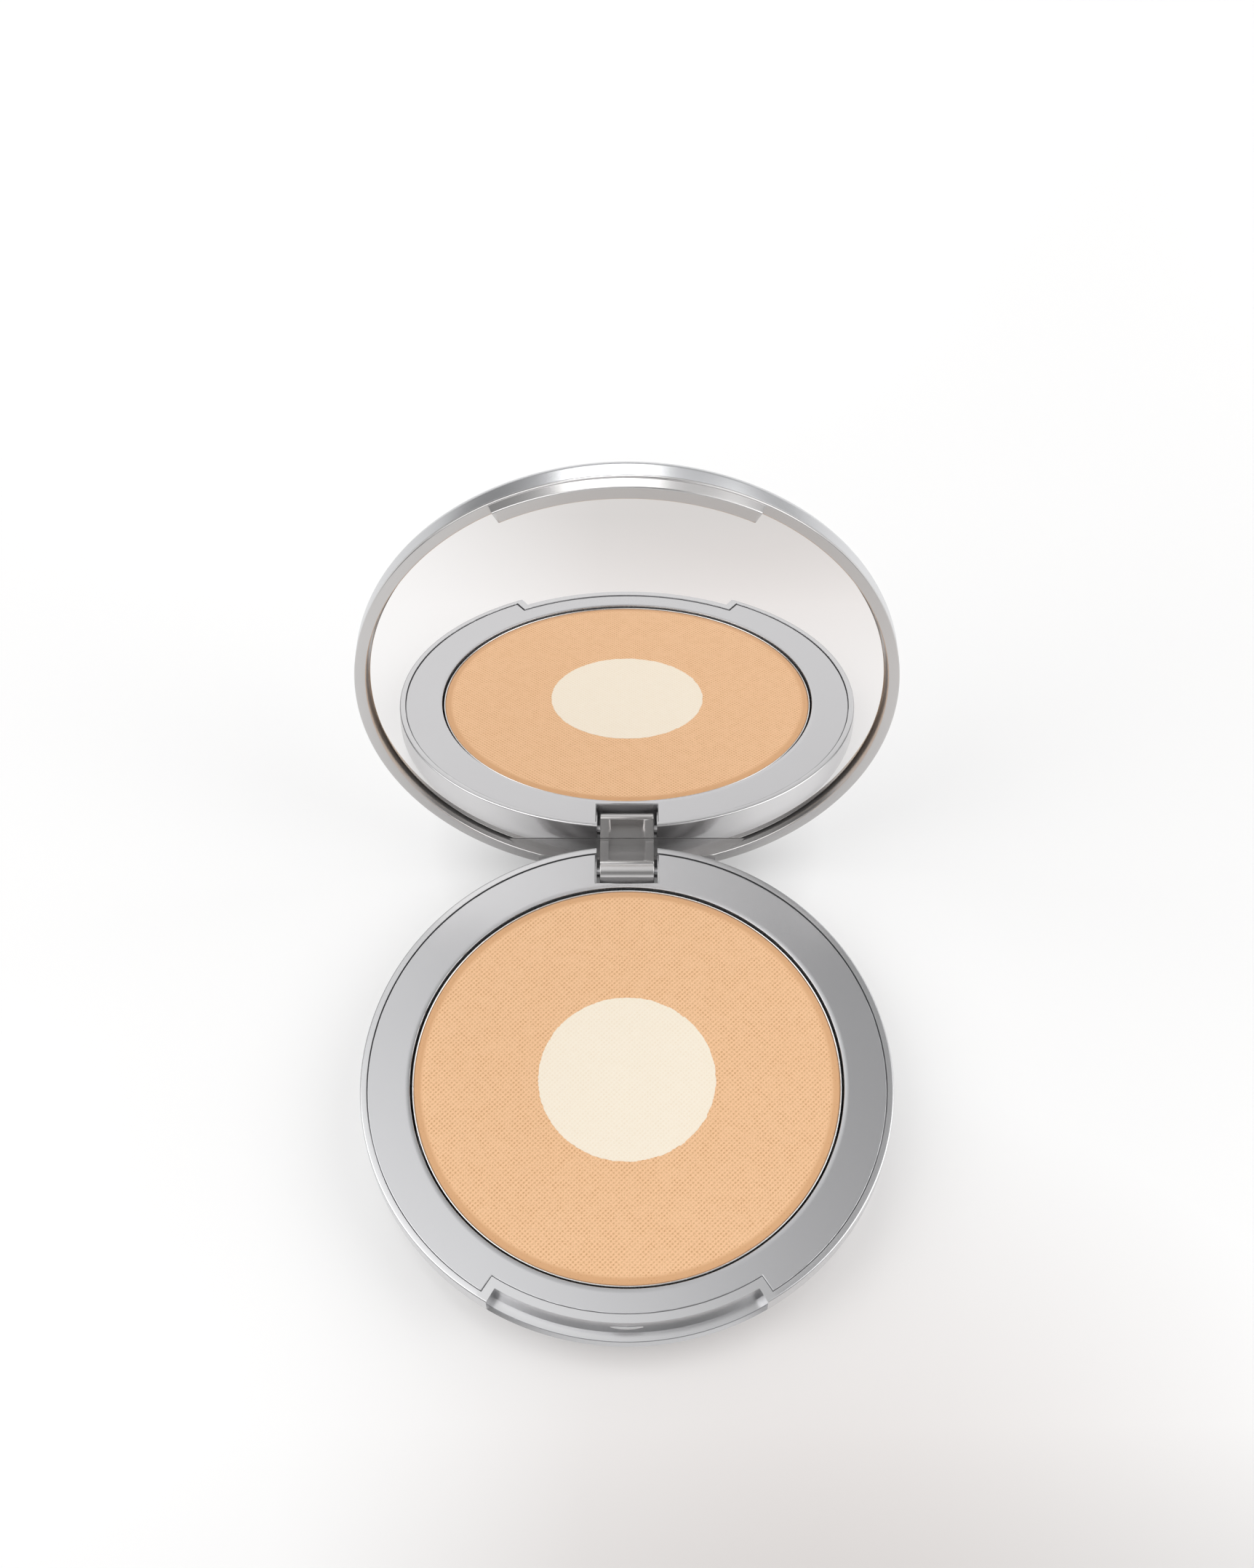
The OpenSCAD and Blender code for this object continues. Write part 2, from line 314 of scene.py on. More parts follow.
def finish_piece(obj, body, replaced, material, smooth_angle=30, opened=False):
    """Scales a piece to metres, opens it with the lid, shades it and ties it to the frame."""
    obj.data.transform(Matrix.Scale(MM, 4))
    if opened:
        obj.data.transform(open_matrix())
    obj.data.shade_smooth()
    obj.data.set_sharp_from_angle(angle=math.radians(smooth_angle))
    obj.data.materials.clear()
    obj.data.materials.append(material)
    weighted = obj.modifiers.new("even shading", "WEIGHTED_NORMAL")
    weighted.keep_sharp = True
    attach(obj, body)
    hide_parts(*replaced)
    return obj


def open_matrix():
    """Takes the closed lid to where it stands open in the frame."""
    pin = Vector(JOINT["pos_m"])
    turn = Matrix.Rotation(-math.radians(JOINT["range_deg"][0]), 4, Vector(JOINT["axis"]))
    return Matrix.Translation(pin) @ turn @ Matrix.Translation(-pin)


# ---------------------------------------------------------------- materials

class Nodes:
    """Small helper round one material's node tree."""

    def __init__(self, name):
        self.material = bpy.data.materials.new(name)
        self.material.use_nodes = True
        self.tree = self.material.node_tree
        self.shader = self.tree.nodes["Principled BSDF"]
        self.object_space = self.add("ShaderNodeTexCoord").outputs["Object"]

    def add(self, kind, **settings):
        node = self.tree.nodes.new(kind)
        for key, value in settings.items():
            setattr(node, key, value)
        return node

    def link(self, out, socket):
        self.tree.links.new(out, socket)

    def noise(self, scale, detail=2.0, rough=0.5):
        node = self.add("ShaderNodeTexNoise")
        node.inputs["Scale"].default_value = scale
        node.inputs["Detail"].default_value = detail
        node.inputs["Roughness"].default_value = rough
        self.link(self.object_space, node.inputs["Vector"])
        return node.outputs["Fac"]

    def ramp(self, value, low, high, to_low, to_high):
        node = self.add("ShaderNodeMapRange")
        for socket, number in (("From Min", low), ("From Max", high), ("To Min", to_low), ("To Max", to_high)):
            node.inputs[socket].default_value = number
        self.link(value, node.inputs["Value"])
        return node.outputs["Result"]

    def mix(self, factor, a, b):
        node = self.add("ShaderNodeMix", data_type="RGBA")
        self.link(factor, node.inputs["Factor"])
        for socket, colour in ((node.inputs[6], a), (node.inputs[7], b)):
            if hasattr(colour, "is_linked"):
                self.link(colour, socket)
            else:
                socket.default_value = (*colour, 1)
        return node.outputs[2]

    def math(self, operation, a, b):
        node = self.add("ShaderNodeMath", operation=operation)
        for socket, value in ((node.inputs[0], a), (node.inputs[1], b)):
            if hasattr(value, "is_linked"):
                self.link(value, socket)
            else:
                socket.default_value = value
        return node.outputs[0]

    def bump(self, height, strength, distance):
        node = self.add("ShaderNodeBump")
        node.inputs["Strength"].default_value = strength
        node.inputs["Distance"].default_value = distance
        self.link(height, node.inputs["Height"])
        self.link(node.outputs["Normal"], self.shader.inputs["Normal"])

    def set(self, **values):
        for key, value in values.items():
            self.shader.inputs[key.replace("_", " ")].default_value = value


def satin(name, light, dark, metallic=0.9, rough=(0.235, 0.265), grain=9000):
    """Fine-grained satin silver coat."""
    n = Nodes(name)
    n.set(Metallic=metallic)
    speck = n.noise(grain, 3.0, 0.6)
    cloud = n.noise(90, 2.0)
    mottle = n.math("ADD", n.math("MULTIPLY", speck, 0.7), n.math("MULTIPLY", cloud, 0.3))
    n.link(n.mix(n.ramp(mottle, 0.2, 0.8, 0, 1), dark, light), n.shader.inputs["Base Color"])
    n.link(n.ramp(speck, 0.3, 0.7, *rough), n.shader.inputs["Roughness"])
    n.bump(speck, 0.015, 0.00001)
    return n.material


def powder(name, base, shade, painted_shade_colour):
    """Pressed powder: matte, with the cloth's lines, pores and a little colour drift; painted shade darkens the
    lines' grooves, the pores and a band at the edge where the cake slopes down to the pan.
    """
    n = Nodes(name)
    n.set(Roughness=0.88, Specular_IOR_Level=0.2, Sheen_Weight=0.12, Sheen_Roughness=0.5)
    cloud = n.noise(160, 3.0)
    grain = n.noise(7000, 4.0, 0.65)
    split = n.add("ShaderNodeSeparateXYZ")
    n.link(n.object_space, split.inputs[0])
    x, y = split.outputs["X"], split.outputs["Y"]
    turn = 2 * math.pi / (math.sqrt(2) * WEAVE_PITCH * MM)
    lines = [n.math("MULTIPLY", n.math("COSINE", n.math("MULTIPLY", n.math(side, x, y), turn), 0.0), share)
             for side, share in (("ADD", 0.42), ("SUBTRACT", 0.58))]
    # painted shade: the colour darkens in the grooves the cloth's weave presses into the cake, more in some
    # patches than others
    groove_shade = n.math("MULTIPLY", n.ramp(n.math("ADD", *lines), -0.1, 1.0, 0, 0.9),
                    n.ramp(n.noise(900, 2.0), 0.35, 0.65, 0.55, 1.0))
    radius = n.math("SQRT", n.math("ADD", n.math("MULTIPLY", x, x), n.math("MULTIPLY", y, y)), 0.0)
    # painted shade: a darker band round the edge, where the cake slopes down to the pan
    edge = n.ramp(radius, (POWDER_R - 1.4) * MM, (POWDER_R - 0.8) * MM, 0, 0.55)
    painted_shade_amount = n.math("MAXIMUM", groove_shade, edge)
    # painted shade: the colour darkens in the low spots of the pores' bump
    painted_shade_amount = n.math("MAXIMUM", painted_shade_amount, n.ramp(grain, 0.3, 0.52, 0.7, 0))
    colour = n.mix(n.ramp(cloud, 0.2, 0.8, 0.2, 0.8), base, shade)
    n.link(n.mix(painted_shade_amount, colour, painted_shade_colour), n.shader.inputs["Base Color"])
    n.bump(grain, 0.35, 0.00003)
    return n.material


def mirror_glass():
    n = Nodes("mirror_glass")
    n.set(Metallic=1.0, Base_Color=(0.96, 0.95, 0.945, 1))
    haze = n.noise(60, 3.0)
    n.link(n.ramp(haze, 0.35, 0.75, 0.0, 0.012), n.shader.inputs["Roughness"])
    return n.material


def plain(name, light, dark, rough, metallic=0.0, scale=900, strength=0.2, depth=0.00002):
    """Simple surface with a fine mottle."""
    n = Nodes(name)
    n.set(Metallic=metallic)
    speck = n.noise(scale, 3.0)
    n.link(n.mix(n.ramp(speck, 0.35, 0.65, 0, 1), dark, light), n.shader.inputs["Base Color"])
    n.link(n.ramp(speck, 0.3, 0.7, *rough), n.shader.inputs["Roughness"])
    n.bump(speck, strength, depth)
    return n.material


def drawn_steel(name):
    """Steel with fine lines drawn along the pin, which runs along X."""
    n = Nodes(name)
    n.set(Metallic=1.0)
    stretch = n.add("ShaderNodeMapping")
    stretch.inputs["Scale"].default_value = (60, 6000, 6000)
    n.link(n.object_space, stretch.inputs["Vector"])
    lines = n.add("ShaderNodeTexNoise")
    lines.inputs["Scale"].default_value = 1.0
    n.link(stretch.outputs["Vector"], lines.inputs["Vector"])
    n.link(n.mix(lines.outputs["Fac"], (0.42, 0.42, 0.43), (0.6, 0.6, 0.61)), n.shader.inputs["Base Color"])
    n.link(n.ramp(lines.outputs["Fac"], 0.3, 0.7, 0.22, 0.36), n.shader.inputs["Roughness"])
    n.bump(lines.outputs["Fac"], 0.2, 0.00001)
    return n.material


def floor_material():
    """Pale table top that glows faintly, as painted light that fills in the shadows round the compact; with a
    painted warm reflection of the powder just in front of the compact, painted shade greyer further to the
    front, and no glow behind the hinge.
    """
    n = Nodes("pale_floor")
    n.set(Roughness=0.3, Specular_IOR_Level=0.8)
    split = n.add("ShaderNodeSeparateXYZ")
    n.link(n.object_space, split.inputs[0])

    def away(x, y):
        node = n.add("ShaderNodeVectorMath", operation="DISTANCE")
        n.link(n.object_space, node.inputs[0])
        node.inputs[1].default_value = (x, y, 0)
        return node.outputs["Value"]

    cloud = n.mix(n.noise(3.0, 2.0), (0.625, 0.622, 0.62), (0.635, 0.633, 0.632))
    right = n.ramp(split.outputs["X"], -0.045, -0.005, 0.25, 1)
    # painted reflection: a warm, darker patch just in front of the compact stands in for the powder reflected
    # in a glossy table top; it and the grey patch below fade out to the left
    painted_reflection_mask = n.math("MULTIPLY", n.ramp(away(0.022, -0.08), 0.015, 0.085, 0.8, 0), right)
    # painted shade: the floor turns greyer further to the front
    front = n.math("MULTIPLY", n.ramp(split.outputs["Y"], -0.08, -0.045, 0.75, 0), right)
    colour = n.mix(front, n.mix(painted_reflection_mask, cloud, (0.47, 0.435, 0.42)), (0.401, 0.391, 0.384))
    n.link(colour, n.shader.inputs["Base Color"])
    # painted shade: the floor does not glow behind the hinge, so the lid's inner frame there reflects something
    # dark
    behind_hinge = n.ramp(away(0, PIN_Y * MM + 0.011), 0.008, 0.03, 1, 0)
    # painted light: the floor glows in its own colour, which fills in the shadows round the compact
    glow = n.mix(behind_hinge, colour, (0, 0, 0))
    n.link(glow, n.shader.inputs["Emission Color"])
    n.set(Emission_Strength=0.48)
    return n.material


# ---------------------------------------------------------------- base

def deck_outline(gap, half_slot):
    """Outline of the deck, with its front jog and its rear hinge slot; gap shrinks it all round."""
    r, jog_r = DECK_R - gap, JOG_R - gap
    jog_deg = JOG_ANGLE + 2 * gap
    slot_deg = math.degrees(math.asin(half_slot / r))

    def at(radius, a):
        return (radius * math.sin(math.radians(a)), -radius * math.cos(math.radians(a)))
    pts = [at(jog_r, a) for a in range(-JOG_ANGLE, JOG_ANGLE + 1)]
    pts[0], pts[-1] = at(jog_r, -jog_deg), at(jog_r, jog_deg)
    pts.append(at(r, jog_deg))
    pts += [at(r, a) for a in range(JOG_ANGLE + 1, int(180 - slot_deg) + 1)]
    edge_y = math.sqrt(r * r - half_slot * half_slot)
    pts += [(half_slot, edge_y), (half_slot, SLOT_Y), (-half_slot, SLOT_Y), (-half_slot, edge_y)]
    pts += [at(r, a) for a in range(-int(180 - slot_deg), -JOG_ANGLE)]
    pts.append(at(r, -jog_deg))
    return pts


def catch_bump():
    """Lens-shaped bump on the notch wall."""
    half, out = 2.55, 0.45
    bm = bmesh.new()
    rings = []
    across, around = 24, 20
    for i in range(across + 1):
        x = half * math.sin(math.radians(-90 + 180 * i / across))
        size = out * math.sqrt(max(0.0, 1 - (x / half) ** 2)) ** 1.2
        wall = math.sqrt(NOTCH_R ** 2 - x * x)
        rings.append([bm.verts.new((x, -(wall + size * math.cos(2 * math.pi * k / around)),
                                    CATCH_Z + 0.9 * size * math.sin(2 * math.pi * k / around)))
                      for k in range(around)])
    for a, b in zip(rings, rings[1:]):
        stitch(bm, a, b)
    clean(bm)
    return new_object("bump", bm)


def notch():
    """Cutter for the thumb notch: leaning wall, ledge with a hair groove at its edge, and chamfer."""
    edge, far = BASE_R - LEDGE_CHAMFER, 9
    section = [(NOTCH_R, ABOVE), (NOTCH_R, LIP_Z), (NOTCH_R + NOTCH_LEAN, LEDGE_Z), (edge - 0.12, LEDGE_Z),
               (edge - 0.06, LEDGE_Z - 0.1), (edge, LEDGE_Z), (edge + far, LEDGE_Z - far), (edge + far, ABOVE)]
    return swept("notch", section, lambda r, z: NOTCH_ANGLE)


def build_base_shell(material):
    outer = [(0, 0)] + shoulder(FLAT_R, BASE_R, 0, SIDE_Z)
    rim = rounded([(BASE_R, SIDE_Z, 0), (BASE_R, LIP_Z, 0.24), (0, LIP_Z, 0)], 6)[1:-1]
    shell = lathe("base_shell_look", outer + rim + [(0, LIP_Z)])
    cavity = [(0, WALL)] + shoulder(FLAT_R, BASE_R - WALL, WALL, SIDE_Z)
    hollow = lathe("hollow", cavity + [(BASE_R - WALL, DECK_Z - DECK_T), (0, DECK_Z - DECK_T)], 120)
    block_r = JOG_R - 0.9
    keep_front = prism("front", sector(block_r, 50, JOG_ANGLE + 2), LEDGE_Z - 1.1, ABOVE)
    keep_back = prism("back", box_outline(-10, 10, SLOT_Y + 0.6, 50), BELOW, ABOVE)
    keep_wall = prism("wall", box_outline(-SLOT_HALF - 1, SLOT_HALF + 1, SLOT_Y - 1.1, SLOT_Y + 0.9),
                      BELOW, WELL_BOTTOM)
    carve(hollow, "DIFFERENCE", keep_front, keep_back, keep_wall)
    carve(shell, "DIFFERENCE", hollow,
          prism("deck", deck_outline(0, SLOT_HALF), DECK_Z - DECK_T, ABOVE),
          prism("slot", box_outline(-SLOT_HALF, SLOT_HALF, SLOT_Y, 60), BELOW, ABOVE),
          lathe("recess", [(0, BELOW), (LABEL_R + 0.2, BELOW), (LABEL_R + 0.2, LABEL_SINK), (0, LABEL_SINK)],
                120),
          notch())
    soften(shell, 0.14, lambda p: p.z > LIP_Z - 0.02 and p.y < 30 and p.xy.length > JOG_R - 0.1)
    soften(shell, 0.06,
           lambda p: p.y < -24 and p.xy.length > NOTCH_R and LEDGE_Z + 0.1 < p.z < LIP_Z - 0.3, 2, 40)
    carve(shell, "UNION", catch_bump())
    return finish_piece(shell, "base", ["base_shell"], material)


def build_base_deck(material):
    deck = prism("base_deck_look", deck_outline(0.1, SLOT_HALF + 0.15), DECK_Z - DECK_T, DECK_Z)
    well = lathe("well", [(0, WELL_BOTTOM), (WELL_R + WELL_WALL, WELL_BOTTOM),
                          (WELL_R + WELL_WALL, DECK_Z), (0, DECK_Z)])
    carve(deck, "UNION", well)
    hole = rounded([(0, WELL_FLOOR, 0), (WELL_R, WELL_FLOOR, 0.3), (WELL_R, ABOVE, 0), (0, ABOVE, 0)], 3)
    carve(deck, "DIFFERENCE", lathe("hole", hole))
    inner_edge = WELL_R + 0.4
    soften(deck, 0.07, lambda p: p.z > DECK_Z - 0.02 and p.xy.length < inner_edge)
    soften(deck, 0.14, lambda p: p.z > DECK_Z - 0.02 and p.xy.length > inner_edge + 0.1)
    return finish_piece(deck, "base", ["base_deck"], material)


def build_pan(material):
    r, t, corner = PAN_R, PAN_T, PAN_CORNER
    profile = [(0, PAN_BOTTOM), *arc(r - corner, PAN_BOTTOM + corner, corner, -90, 0, 6),
               *arc(r - t / 2, PAN_TOP - t / 2, t / 2, 0, 180, 8),
               *arc(r - corner, PAN_BOTTOM + corner, corner - t, 0, -90, 6), (0, PAN_BOTTOM + t)]
    return finish_piece(lathe("powder_pan_look", profile, 480), "base", ["powder_pan"], material)


def weave(x, y, depth):
    """Height of the linen-like emboss that the pressing cloth leaves."""
    u, v = (x + y) / math.sqrt(2) / WEAVE_PITCH, (x - y) / math.sqrt(2) / WEAVE_PITCH
    over = math.sin(math.pi * u) ** 2 * (0.5 + 0.5 * math.cos(math.pi * v * 2))
    under = math.sin(math.pi * v) ** 2 * (0.5 + 0.5 * math.cos(math.pi * u * 2))
    strength = 0.6 + 0.4 * noise.noise(Vector((x * 0.11, y * 0.11, 3.7)))
    return depth * strength * (0.35 * over + 0.65 * under)


def border(angle):
    """Radius of the slightly rough border between the two powders."""
    point = Vector((math.cos(angle), math.sin(angle), 0))
    return CENTRE_R - 0.1 + 0.1 * noise.noise(point * 9) + 0.09 * noise.noise(point * 38) \
        + 0.05 * noise.noise(point * 110)


def powder_top(r, x, y, depth):
    """Top surface of the cake: flat, with a soft slope down to the pan at the edge."""
    edge = POWDER_R - r
    slope = 0.2 * max(0.0, 1 - edge / 1.0) ** 1.4
    fade = min(1.0, max(0.0, edge / 0.5))
    return POWDER_TOP - depth - slope + weave(x, y, depth) * fade


def polar_rows(rings, segments):
    """Rows of vertices round the axis, from functions that give a radius and a height for an angle."""
    bm = bmesh.new()
    rows = []
    for ring in rings:
        row = []
        for k in range(segments):
            a = 2 * math.pi * k / segments
            r, height = ring(a)
            x, y = r * math.cos(a), r * math.sin(a)
            row.append(bm.verts.new((x, y, height(r, x, y) if callable(height) else height)))
        rows.append(row)
    return bm, rows


def build_powder_ring(material):
    depth, count, segments = 0.06, 98, 960
    floor_z = PAN_BOTTOM + PAN_T
    rings = []
    for i in range(count + 1):
        t = i / count

        def ring(a, t=t):
            inner = border(a)
            r = inner + (POWDER_R - inner) * t
            return r, lambda r, x, y: powder_top(r, x, y, depth)
        rings.append(ring)
    rings.append(lambda a: (POWDER_R, PAN_BOTTOM + PAN_CORNER))
    rings.append(lambda a: (POWDER_R - 0.42, floor_z))
    rings.append(lambda a: (border(a), floor_z))
    bm, rows = polar_rows(rings, segments)
    for a, b in zip(rows, rows[1:] + rows[:1]):
        stitch(bm, a, b)
    clean(bm)
    return finish_piece(new_object("powder_ring_look", bm), "base", ["powder_ring"],
                        material, 80)


def build_powder_centre(material):
    depth, count, segments = 0.03, 56, 480
    floor_z = PAN_BOTTOM + PAN_T
    rings = []
    for i in range(1, count + 1):
        t = i / count

        def ring(a, t=t):
            return border(a) * t, lambda r, x, y: powder_top(r, x, y, depth)
        rings.append(ring)
    rings.append(lambda a: (border(a), floor_z))
    bm, rows = polar_rows(rings, segments)
    for a, b in zip(rows, rows[1:]):
        stitch(bm, a, b)
    top = bm.verts.new((0, 0, POWDER_TOP - depth))
    for k in range(segments):
        bm.faces.new((rows[0][k], rows[0][(k + 1) % segments], top))
    bm.faces.new(rows[-1])
    clean(bm)
    return finish_piece(new_object("powder_centre_look", bm), "base", ["powder_centre"],
                        material, 80)


def build_label(material):
    low = LABEL_SINK - 0.12
    outline = rounded([(0, low, 0), (LABEL_R, low, 0.04), (LABEL_R, LABEL_SINK, 0), (0, LABEL_SINK, 0)], 2)
    disc = lathe("base_label_look", outline, 240)
    return finish_piece(disc, "base", ["base_label"], material)


def build_pin(material):
    """Pin with chamfered ends, along X."""
    low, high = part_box("hinge_pin")[0].x / MM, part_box("hinge_pin")[1].x / MM
    chamfer = 0.15
    pin = round_pin_axis("hinge_pin_look", ((low, PIN_R - chamfer), (low + chamfer, PIN_R),
                                            (high - chamfer, PIN_R), (high, PIN_R - chamfer)), 64)
    return finish_piece(pin, "base", ["hinge_pin"], material)


# ---------------------------------------------------------------- lid

def build_lid_shell(material):
    outer = shoulder(FLAT_R, LID_R, LID_TOP, LID_SIDE_Z)
    inner = shoulder(FLAT_R, LID_R - LID_WALL, LID_TOP - LID_WALL, LID_SIDE_Z)
    foot = rounded([(LID_R, LID_SIDE_Z, 0), (LID_R, SEAM_Z, 0.05), (LID_R - LID_WALL, SEAM_Z, 0),
                    (LID_R - LID_WALL, LID_SIDE_Z, 0)], 2)[1:-1]
    profile = [(0, LID_TOP)] + outer + foot + inner[::-1] + [(0, LID_TOP - LID_WALL)]
    shell = lathe("lid_shell_look", profile)
    carve(shell, "DIFFERENCE", relief())
    return finish_piece(shell, "lid", ["lid_shell"], material, opened=True)


def relief():
    """Room for the base's rear corner as the lid swings past it."""
    half, gap = 13, 0.12
    reach = math.hypot(BASE_R - PIN_Y, LIP_Z - PIN_Z) + gap
    far_reach = math.hypot(math.sqrt(BASE_R ** 2 - half ** 2) - PIN_Y, LIP_Z - PIN_Z) + gap
    return round_pin_axis("relief", ((-half, far_reach), (-4, reach), (4, reach), (half, far_reach)), 120)


def knuckle_outline():
    """Side outline of the barrel, its ridge and the arm, in (y, z)."""
    back_y = FRAME_OUT_R - 0.4
    top = RIM_Z + 3.2
    back = math.degrees(math.acos((back_y - PIN_Y) / KNUCKLE_R))
    ridge_y, ridge_z = ARM_Y + 0.2, PIN_Z - 0.25
    low_z = ridge_z - 0.32
    front = 180 + math.degrees(math.asin((PIN_Z - low_z) / KNUCKLE_R))
    ridge_low = 360 - math.degrees(math.acos((PIN_Y - KNUCKLE_R * math.cos(math.radians(front - 180)) - ridge_y)
                                             / RIDGE_R))
    ridge_high = math.degrees(math.acos(-0.2 / RIDGE_R))
    pts = [(back_y, top)]
    pts += arc(PIN_Y, PIN_Z, KNUCKLE_R, back, front - 360, 48)
    pts += arc(ridge_y, ridge_z, RIDGE_R, ridge_low, ridge_high, 12)[1:]
    pts.append((ARM_Y, top))
    return pts


def swept(name, section, half_angle, count=60):
    """Closed (r, z) section swept round the front; half_angle(r, z) gives the reach to each side."""
    bm = bmesh.new()
    rows = []
    for i in range(count + 1):
        t = -1 + 2 * i / count
        row = []
        for r, z in section:
            half = math.radians(half_angle(r, z))
            row.append(bm.verts.new((r * math.sin(t * half), -r * math.cos(t * half), z)))
        rows.append(row)
    return capped(name, bm, rows)


def thumb_tab():
    """Tab with ends that lean in."""
    section = rounded([(TAB_IN_R, RIM_Z + 0.2, 0), (TAB_IN_R, TAB_Z, 0.12), (TAB_OUT_R, TAB_Z, 0.2),
                       (TAB_OUT_R, RIM_Z + 0.2, 0)], 4)
    lean = math.tan(math.radians(TAB_TAPER))
    tab = swept("tab", section, lambda r, z: TAB_ANGLE - math.degrees((RIM_Z - z) * lean / r))
    soften(tab, 0.1, lambda p: abs(p.x) > 15.5 and p.z < RIM_Z + 0.15, 2, 50)
    return tab


def build_lid_frame(material):
    floor_z = MIRROR_Z + MIRROR_T + 0.2
    back_r, back_z = 35.25, floor_z + 0.8
    body = rounded([(0, floor_z, 0), (FRAME_IN_R, floor_z, 0), (FRAME_IN_R, RIM_Z, 0.14), (LID_R, RIM_Z, 0.16),
                    (LID_R, SEAM_Z - 0.02, 0.04), (FRAME_OUT_R, SEAM_Z - 0.02, 0), (FRAME_OUT_R, LID_SIDE_Z, 0),
                    (back_r, back_z, 0), (0, back_z, 0)], 4)
    ring = lathe("lid_frame_look", body)
    land_r = FRAME_IN_R + 0.1
    land_arc = [(land_r * math.sin(math.radians(a)), land_r * math.cos(math.radians(a)))
                for a in range(29, -30, -1)]
    land = prism("land", [(-18, LAND_Y), (18, LAND_Y)] + land_arc, MIRROR_Z, floor_z + 0.1)
    carve(ring, "UNION", land)
    carve(ring, "DIFFERENCE", relief())
    arm = prism("arm", knuckle_outline(), -KNUCKLE_HALF, KNUCKLE_HALF, "x")
    soften(arm, 0.12, lambda p: abs(p.x) > KNUCKLE_HALF - 0.02 and p.z < MIRROR_Z, 3, 60)
    pocket = prism("pocket", rounded([(-2.7, PIN_Z + 0.1, 0.4), (2.7, PIN_Z + 0.1, 0.4), (2.7, MIRROR_Z, 0),
                                      (-2.7, MIRROR_Z, 0)], 5), ARM_Y - 1, ARM_Y + 1.25, "y")
    carve(arm, "DIFFERENCE", pocket)
    soften(arm, 0.05, lambda p: abs(p.x) < 2.75 and p.y < ARM_Y + 0.01 and p.z > PIN_Z + 0.05, 2, 60)
    carve(ring, "UNION", arm, thumb_tab())
    bore = prism("bore", arc(PIN_Y, PIN_Z, PIN_R + 0.05, 0, 360, 64)[:-1], -8, 8, "x")
    carve(ring, "DIFFERENCE", bore)
    return finish_piece(ring, "lid", ["lid_frame"], material, opened=True)


def build_mirror(material):
    """Glass disc with a ground edge, cut straight in front of the hinge."""
    a = math.degrees(math.acos(MIRROR_CUT / MIRROR_R))
    outline = [(MIRROR_R * math.sin(math.radians(t)), MIRROR_R * math.cos(math.radians(t)))
               for t in [a + (360 - 2 * a) * i / 320 for i in range(321)]]
    glass = prism("mirror_look", outline, MIRROR_Z, MIRROR_Z + MIRROR_T)
    soften(glass, 0.09, lambda p: True, 2, 50)
    return finish_piece(glass, "lid", ["mirror"], material, opened=True)


# ---------------------------------------------------------------- stage, light, camera

def build_stage():
    bm = bmesh.new()
    half = 2.5
    verts = [bm.verts.new((x, y, 0)) for x, y in ((-half, -half), (half, -half), (half, half), (-half, half))]
    bm.faces.new(verts)
    floor = new_object("floor", bm)
    floor.data.materials.append(floor_material())


def area_light(name, place, target, size, power, colour=(1, 1, 1)):
    light = bpy.data.lights.new(name, "AREA")
    light.shape = "RECTANGLE"
    light.size, light.size_y = size
    light.energy = power
    light.color = colour
    obj = bpy.data.objects.new(name, light)
    obj.location = place
    obj.rotation_euler = (Vector(target) - Vector(place)).to_track_quat("-Z", "Y").to_euler()
    bpy.context.scene.collection.objects.link(obj)


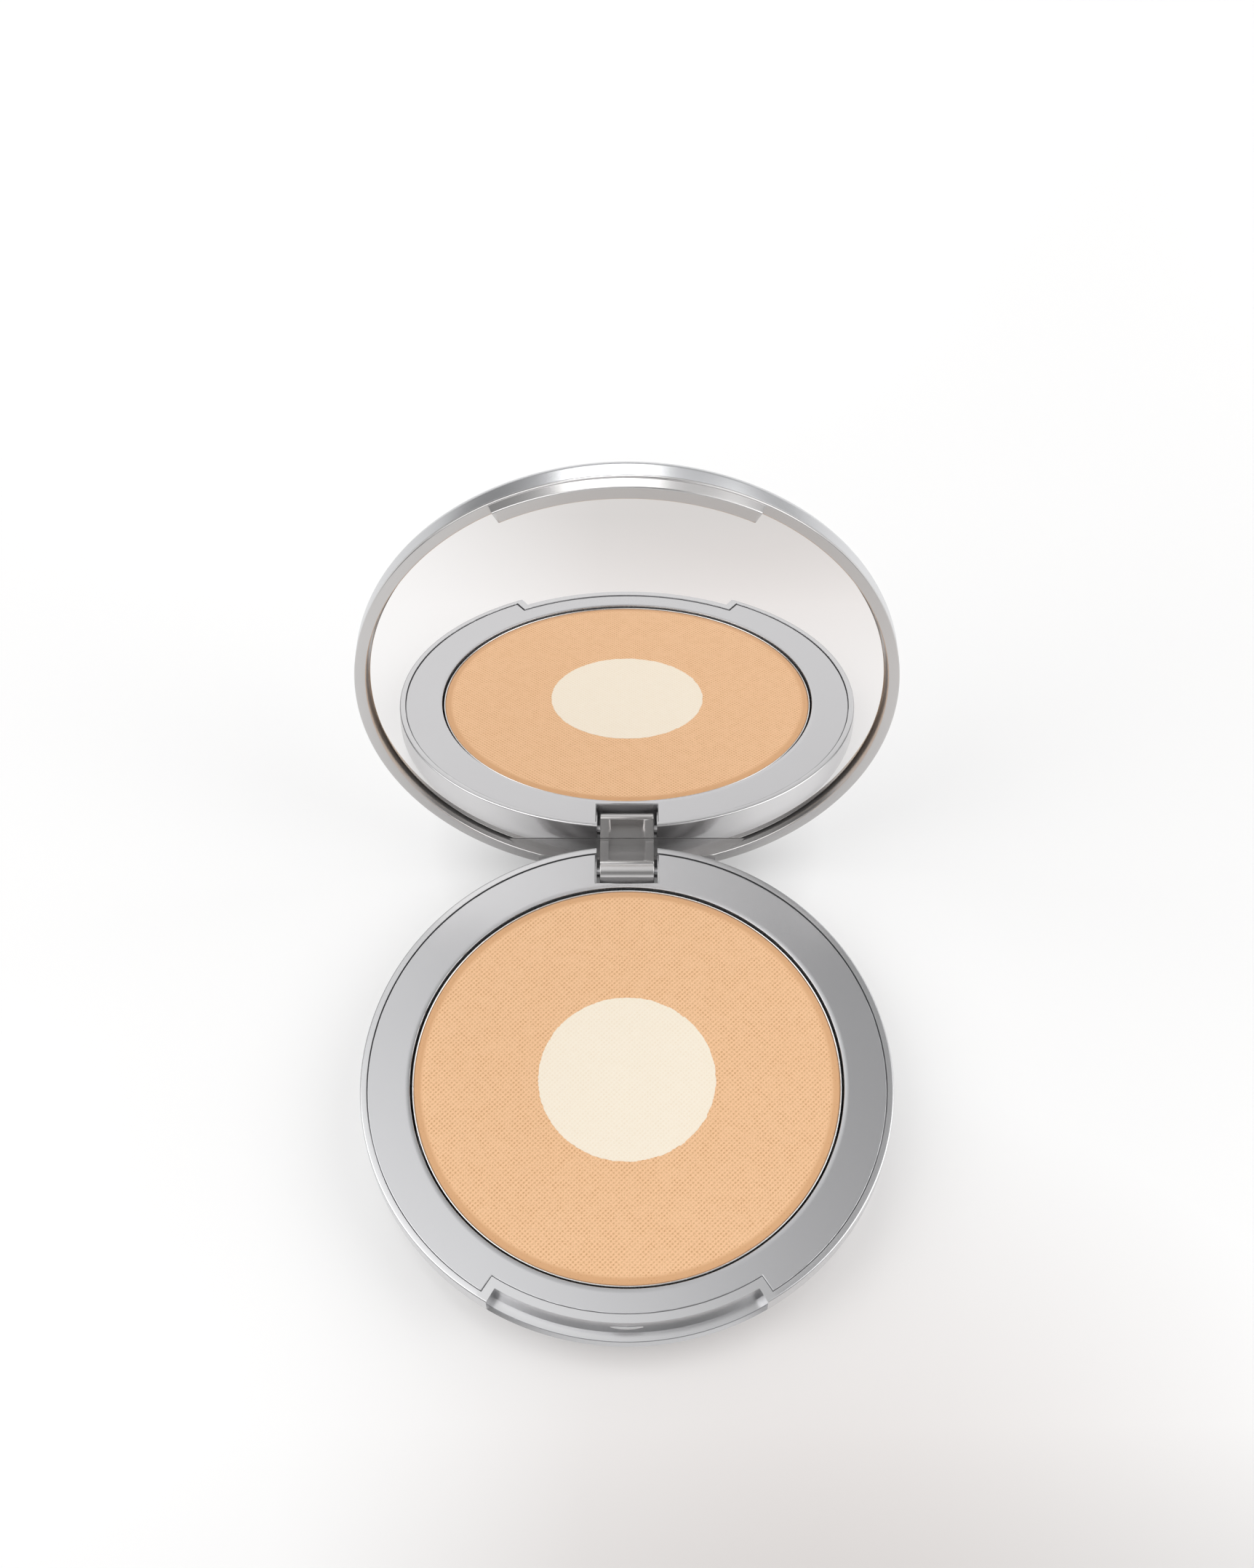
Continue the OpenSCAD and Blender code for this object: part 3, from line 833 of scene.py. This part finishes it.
def build_light():
    """Soft light all round: brightest overhead to the left, dark at the front, softboxes left and right."""
    world = bpy.data.worlds.new("studio")
    bpy.context.scene.world = world
    world.use_nodes = True
    tree = world.node_tree
    split = tree.nodes.new("ShaderNodeSeparateXYZ")
    tree.links.new(tree.nodes.new("ShaderNodeTexCoord").outputs["Generated"], split.inputs[0])

    def fade(source, low, high, to_low, to_high):
        node = tree.nodes.new("ShaderNodeMapRange")
        node.interpolation_type = "SMOOTHSTEP"
        for socket, number in (("From Min", low), ("From Max", high), ("To Min", to_low), ("To Max", to_high)):
            node.inputs[socket].default_value = number
        tree.links.new(source, node.inputs["Value"])
        return node.outputs["Result"]
    mix = tree.nodes.new("ShaderNodeMix")
    tree.links.new(fade(split.outputs["Z"], 0.45, 0.95, 0, 1), mix.inputs["Factor"])
    tree.links.new(fade(split.outputs["X"], 0.15, 0.55, *SKY_LOW), mix.inputs[2])
    tree.links.new(fade(split.outputs["X"], *SKY_TURN, *SKY_TOP), mix.inputs[3])
    strength = mix.outputs[0]
    for axis, low, high, share in SKY_SHARES:
        product = tree.nodes.new("ShaderNodeMath")
        product.operation = "MULTIPLY"
        tree.links.new(strength, product.inputs[0])
        tree.links.new(fade(split.outputs[axis], low, high, share, 1), product.inputs[1])
        strength = product.outputs[0]
    tree.nodes["Background"].inputs["Color"].default_value = (1, 1, 1, 1)
    tree.links.new(strength, tree.nodes["Background"].inputs["Strength"])
    area_light("left_softbox", (-0.65, -0.05, 0.7), (0, 0.02, 0.02), (0.8, 0.8), 3.0)
    area_light("right_softbox", (0.65, 0.0, 0.7), (0, 0.02, 0.02), (0.8, 0.8), 2.6)
    area_light("back_strip", (-0.06, 0.75, 0.42), (0, 0.05, 0.07), (0.38, 0.3), 0.8)
    area_light("back_fill", (0.5, 0.62, 0.38), (0, 0.05, 0.07), (0.4, 0.3), 0.3)


def build_camera():
    data = bpy.data.cameras.new("camera")
    data.sensor_width = 36
    data.lens = 49.2
    data.clip_start = 0.01
    camera = bpy.data.objects.new("camera", data)
    camera.location = (0, -0.1208, 0.2712 + DECK_Z * MM)
    camera.rotation_euler = (math.radians(90 - 58.2), 0, 0)
    bpy.context.scene.collection.objects.link(camera)
    bpy.context.scene.camera = camera
    bpy.context.scene.view_settings.view_transform = "Standard"


def main():
    satin_shell = satin("satin_shell", (0.69, 0.69, 0.7), (0.64, 0.64, 0.65))
    satin_deck = satin("satin_deck", (0.645, 0.645, 0.657), (0.605, 0.605, 0.617))
    satin_lid = satin("satin_lid", (0.66, 0.665, 0.68), (0.6, 0.605, 0.62))
    satin_frame = satin("satin_frame", (0.64, 0.628, 0.624), (0.58, 0.57, 0.566))
    build_base_shell(satin_shell)
    build_base_deck(satin_deck)
    build_pan(plain("tinplate", (0.93, 0.93, 0.92), (0.85, 0.85, 0.84), (0.18, 0.3), 1.0, 1500))
    # The last colour given to each powder is its painted shade colour, for the grooves, the pores and the edge
    # band.
    build_powder_ring(powder("peach_powder", (0.925, 0.598, 0.357), (0.9, 0.568, 0.327), (0.555, 0.275, 0.115)))
    build_powder_centre(powder("cream_powder", (0.95, 0.865, 0.73), (0.94, 0.845, 0.705), (0.87, 0.75, 0.58)))
    build_label(plain("label", (0.88, 0.88, 0.87), (0.82, 0.82, 0.81), (0.45, 0.6), 0.0, 1200))
    build_pin(drawn_steel("pin_steel"))
    build_lid_shell(satin_lid)
    build_lid_frame(satin_frame)
    build_mirror(mirror_glass())
    hidden = {"pan_glue": plain("glue", (0.8, 0.76, 0.62), (0.72, 0.68, 0.54), (0.3, 0.5), 0.0, 500),
              "mirror_tape": plain("foam_tape", (0.86, 0.84, 0.78), (0.78, 0.76, 0.7), (0.7, 0.9), 0.0, 2500)}
    for node, material in hidden.items():
        for slot in frame["nodes"][node].material_slots:
            slot.material = material
    build_stage()
    build_light()
    build_camera()


main()
